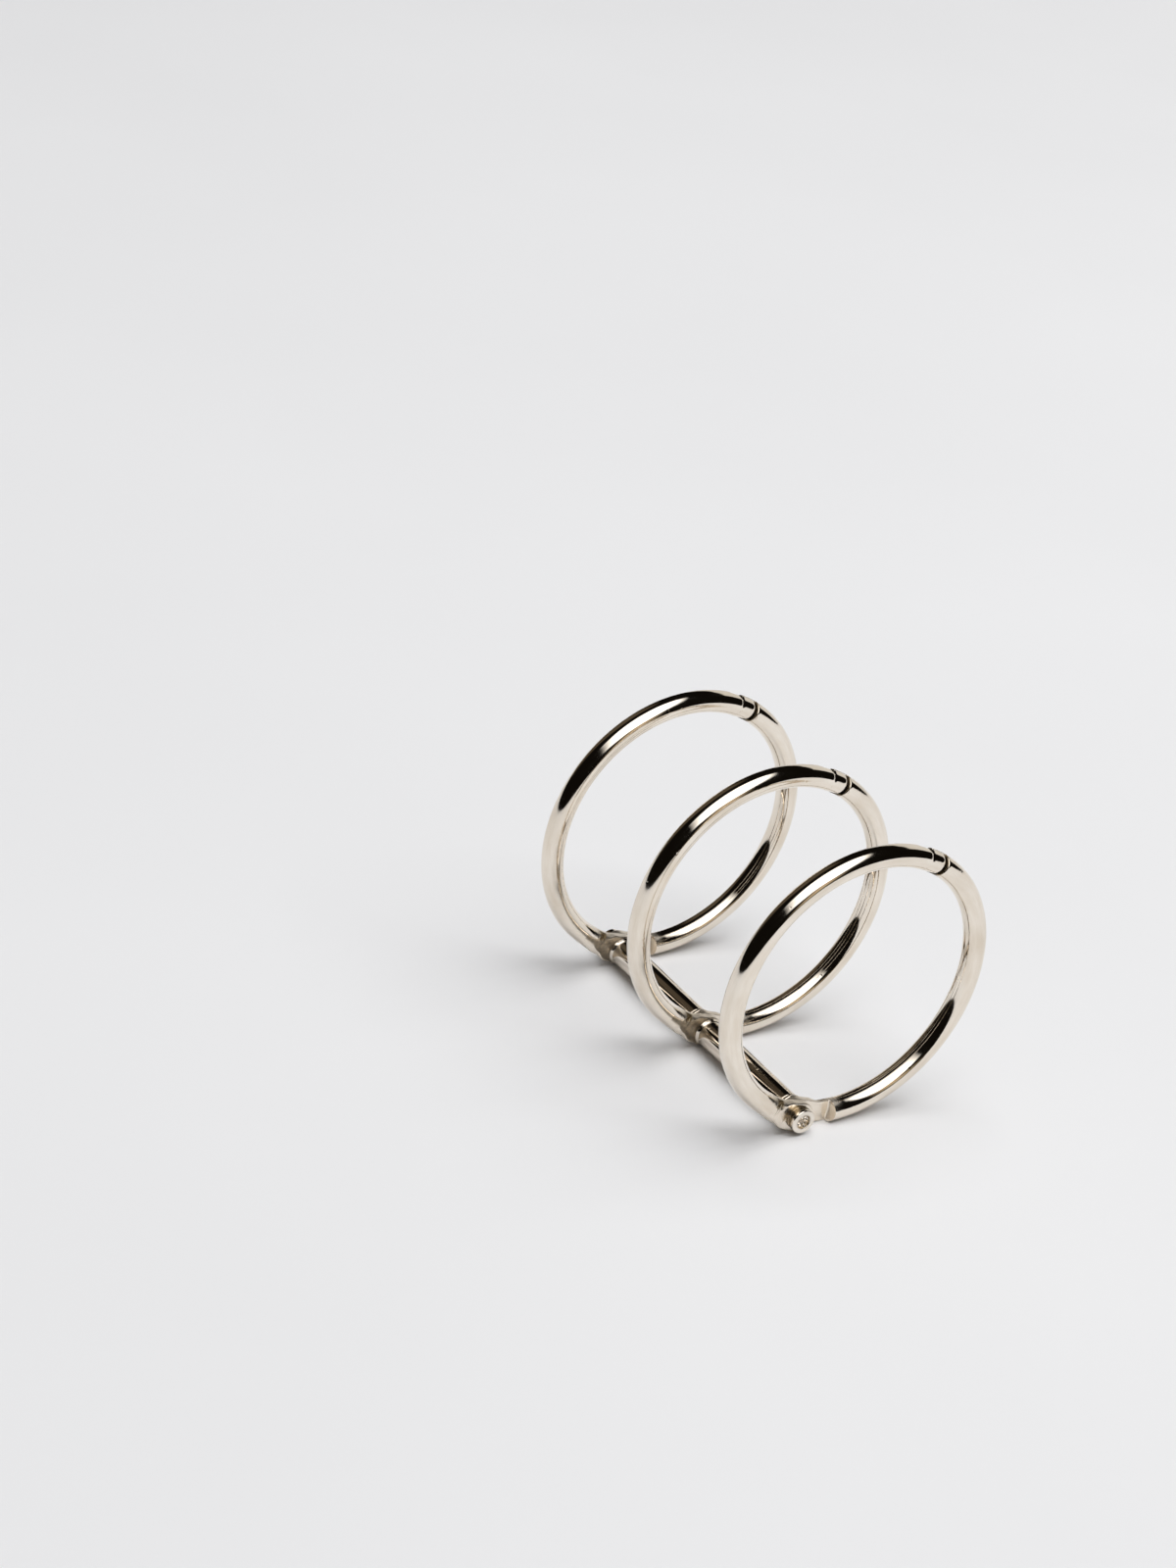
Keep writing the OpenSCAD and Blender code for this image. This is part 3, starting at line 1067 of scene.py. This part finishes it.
def panel(name, corners, material):
    """A flat panel that only reflections see, with UVs from 0 to 1 across its box."""
    mesh = bpy.data.meshes.new(name)
    mesh.from_pydata(corners, [], [tuple(range(len(corners)))])
    points = np.array(corners)
    size = np.ptp(points, axis=0)
    flat = size > 0
    layer = mesh.uv_layers.new(name="UVMap")
    layer.data.foreach_set("uv", ((points - points.min(0))[:, flat] / size[flat]).ravel())
    mesh.materials.append(material)
    made = bpy.data.objects.new(name, mesh)
    made.visible_camera = False
    made.visible_diffuse = False
    made.visible_shadow = False
    bpy.context.scene.collection.objects.link(made)


studio_floor()
area_light("softbox", LAMP_PLACE, (0, 0, 0), LAMP_SIZE, LAMP_POWER)
panel("softbox_face", level_corners(SOFTBOX_X, SOFTBOX_Y, SOFTBOX_Z),
      glow("softbox_glow", colour=(1, 0.99, 0.97), strength=2.6, x_edges=(0.32, 0.14), y_edges=(0.25, 0.06)))
panel("lit_screen", wall_corners(SCREEN_X, SCREEN_Y, SCREEN_Z),
      glow("screen_glow", colour=(0.80, 0.64, 0.44), strength=0.75, x_edges=(0.4, 0.4), y_edges=(0.2, 0.3)))
panel("back_wall", wall_corners(WALL_X, WALL_Y, WALL_Z),
      glow("wall_glow", colour=(0.50, 0.39, 0.27), strength=0.18, x_edges=(0.25, 0.25), y_edges=(0.05, 0.4)))
panel("side_card", [(CARD_X, y, z) for y, z in CARD_OUTLINE],
      glow("card_glow", colour=(1, 0.97, 0.91), strength=0.72, x_edges=(0.03, 0.03), y_edges=(0.01, 0.05)))


def studio_world():
    """Dark room for reflections, a pale surround for the camera and a little fill for the floor."""
    world = bpy.data.worlds.new("studio")
    world.use_nodes = True
    bpy.context.scene.world = world
    tree = world.node_tree
    ray = tree.nodes.new("ShaderNodeLightPath")
    room = tree.nodes["Background"]
    room.inputs["Color"].default_value = ROOM_COLOUR
    room.inputs["Strength"].default_value = ROOM_STRENGTH
    fill = tree.nodes.new("ShaderNodeBackground")
    fill.inputs["Color"].default_value = FILL_COLOUR
    fill.inputs["Strength"].default_value = FILL_STRENGTH
    pale = tree.nodes.new("ShaderNodeBackground")
    pale.inputs["Color"].default_value = SURROUND_COLOUR
    shown = room.outputs["Background"]
    for kind, light in (("Is Diffuse Ray", fill), ("Is Camera Ray", pale)):
        mix = tree.nodes.new("ShaderNodeMixShader")
        tree.links.new(ray.outputs[kind], mix.inputs["Fac"])
        tree.links.new(shown, mix.inputs[1])
        tree.links.new(light.outputs["Background"], mix.inputs[2])
        shown = mix.outputs["Shader"]
    tree.links.new(shown, tree.nodes["World Output"].inputs["Surface"])


studio_world()

# Camera: the view's angles in degrees, and where the middle of the set falls in the 1200 x 1600 picture
PICTURE = (1200, 1600)
VIEW_AZIMUTH = -35.94
VIEW_ELEVATION = 27.84
VIEW_ROLL = 8.85
FOCAL_PX = 3600
CENTRE_PX = (775.6, 921.3)
CENTRE_DEPTH = 0.4082
SENSOR = 36
CLIP = (0.01, 20)


def photo_camera():
    """Camera at the photograph's place, a little rolled."""
    azimuth, elevation, roll = (math.radians(a) for a in (VIEW_AZIMUTH, VIEW_ELEVATION, VIEW_ROLL))
    back = Vector((math.sin(azimuth) * math.cos(elevation), -math.cos(azimuth) * math.cos(elevation),
                   math.sin(elevation)))
    level = Vector((math.cos(azimuth), math.sin(azimuth), 0))
    upright = back.cross(level)
    right = math.cos(roll) * level + math.sin(roll) * upright
    up = math.cos(roll) * upright - math.sin(roll) * level
    across = (CENTRE_PX[0] - PICTURE[0] / 2) / FOCAL_PX * CENTRE_DEPTH
    down = (CENTRE_PX[1] - PICTURE[1] / 2) / FOCAL_PX * CENTRE_DEPTH
    data = bpy.data.cameras.new("camera")
    data.sensor_width = SENSOR
    data.lens = FOCAL_PX * SENSOR / max(PICTURE)
    data.clip_start, data.clip_end = CLIP
    camera = bpy.data.objects.new("camera", data)
    place = CENTRE - across * right + down * up + CENTRE_DEPTH * back
    camera.matrix_world = Matrix.Translation(place) @ Matrix((right, up, back)).transposed().to_4x4()
    bpy.context.scene.collection.objects.link(camera)
    bpy.context.scene.camera = camera


photo_camera()
bpy.context.scene.view_settings.view_transform = "Standard"
